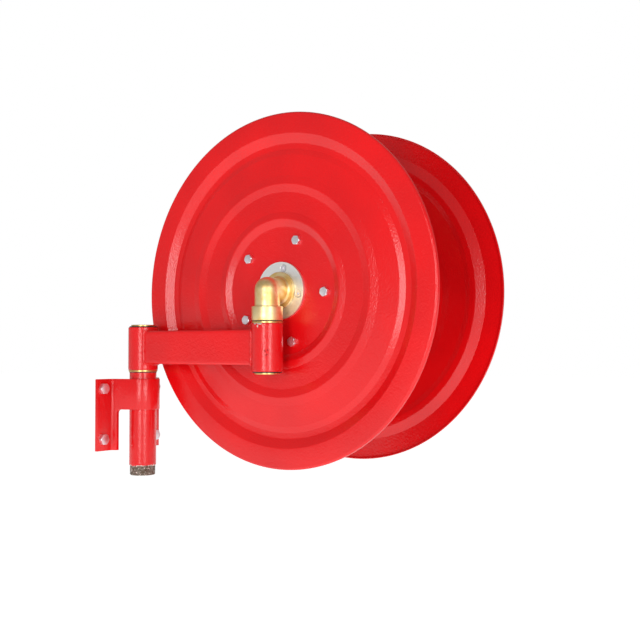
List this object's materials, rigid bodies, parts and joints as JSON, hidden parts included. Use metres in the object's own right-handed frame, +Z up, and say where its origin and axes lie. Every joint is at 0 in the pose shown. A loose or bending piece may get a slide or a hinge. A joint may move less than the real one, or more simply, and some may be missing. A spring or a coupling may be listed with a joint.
{
  "type": "fire hose reel",
  "caption": "Wall-mounted swing-arm fire hose reel: red pressed discs on a drum, carried by a hollow box arm with brass water swivels and a brass elbow.",
  "frame": {"origin": "centre of the four wall bolts, on the wall face of the bracket", "axes": "+X out of the wall along the arm at rest, +Y from the arm towards the reel along the reel's axis, +Z up"},
  "size_m": [0.5785, 0.3373, 0.571],
  "materials": {
    "red_powder_coat": "satin orange-peel powder coat",
    "cast_brass": "blasted and lightly brushed",
    "turned_brass": "turned",
    "machined_aluminium": "turned",
    "zinc_steel": "bright zinc plated",
    "bare_steel": "turned and oiled",
    "black_rubber": "moulded",
    "black_acetal": "turned"
  },
  "bodies": {
    "bracket": {"wall_bracket": "red_powder_coat", "wall_bolts": "zinc_steel", "inlet_pipe": "red_powder_coat", "inlet_spindle": "turned_brass", "inlet_dust_seal": "black_rubber", "inlet_thrust_ring": "turned_brass", "inlet_seals": "black_rubber", "inlet_end_washer": "black_acetal", "inlet_end_nut": "turned_brass"},
    "arm": {"inlet_collar": "red_powder_coat", "arm_box": "red_powder_coat", "hub_collar": "red_powder_coat"},
    "elbow": {"outlet_spindle": "turned_brass", "outlet_dust_seal": "black_rubber", "outlet_thrust_ring": "turned_brass", "outlet_seals": "black_rubber", "outlet_end_washer": "black_acetal", "outlet_end_nut": "turned_brass", "brass_elbow": "cast_brass", "hub_shaft": "turned_brass", "hub_seals": "black_rubber", "hub_circlip": "bare_steel", "axle_rod": "bare_steel", "axle_washer": "zinc_steel", "axle_nut": "zinc_steel"},
    "reel": {"hub_body": "machined_aluminium", "hub_flange_screws": "zinc_steel", "hub_backing_ring": "bare_steel", "front_disc": "red_powder_coat", "front_disc_bolts": "zinc_steel", "front_disc_washers": "zinc_steel", "front_disc_nuts": "zinc_steel", "drum_shell": "red_powder_coat", "rear_disc": "red_powder_coat", "rear_disc_bolts": "zinc_steel", "rear_disc_washers": "zinc_steel", "rear_disc_nuts": "zinc_steel", "rear_hub_flange": "machined_aluminium", "rear_flange_screws": "zinc_steel", "rear_backing_ring": "bare_steel", "rear_bush": "black_acetal", "outlet_pipe": "bare_steel", "outlet_locknut": "turned_brass", "outlet_elbow": "cast_brass", "hose_tail": "turned_brass"}
  },
  "joints": [
    {"name": "arm_swing", "type": "hinge", "parent": "bracket", "child": "arm", "pos_m": [0.037, 0, 0.106], "axis": [0, 0, 1], "range_deg": [-90, 0]},
    {"name": "reel_swing", "type": "hinge", "parent": "arm", "child": "elbow", "pos_m": [0.297, 0, 0.1075], "axis": [0, 0, 1], "range_deg": [-90, 0]},
    {"name": "reel_spin", "type": "hinge", "parent": "elbow", "child": "reel", "pos_m": [0.297, 0.13975, 0.195], "axis": [0, 1, 0], "continuous": true}
  ]
}
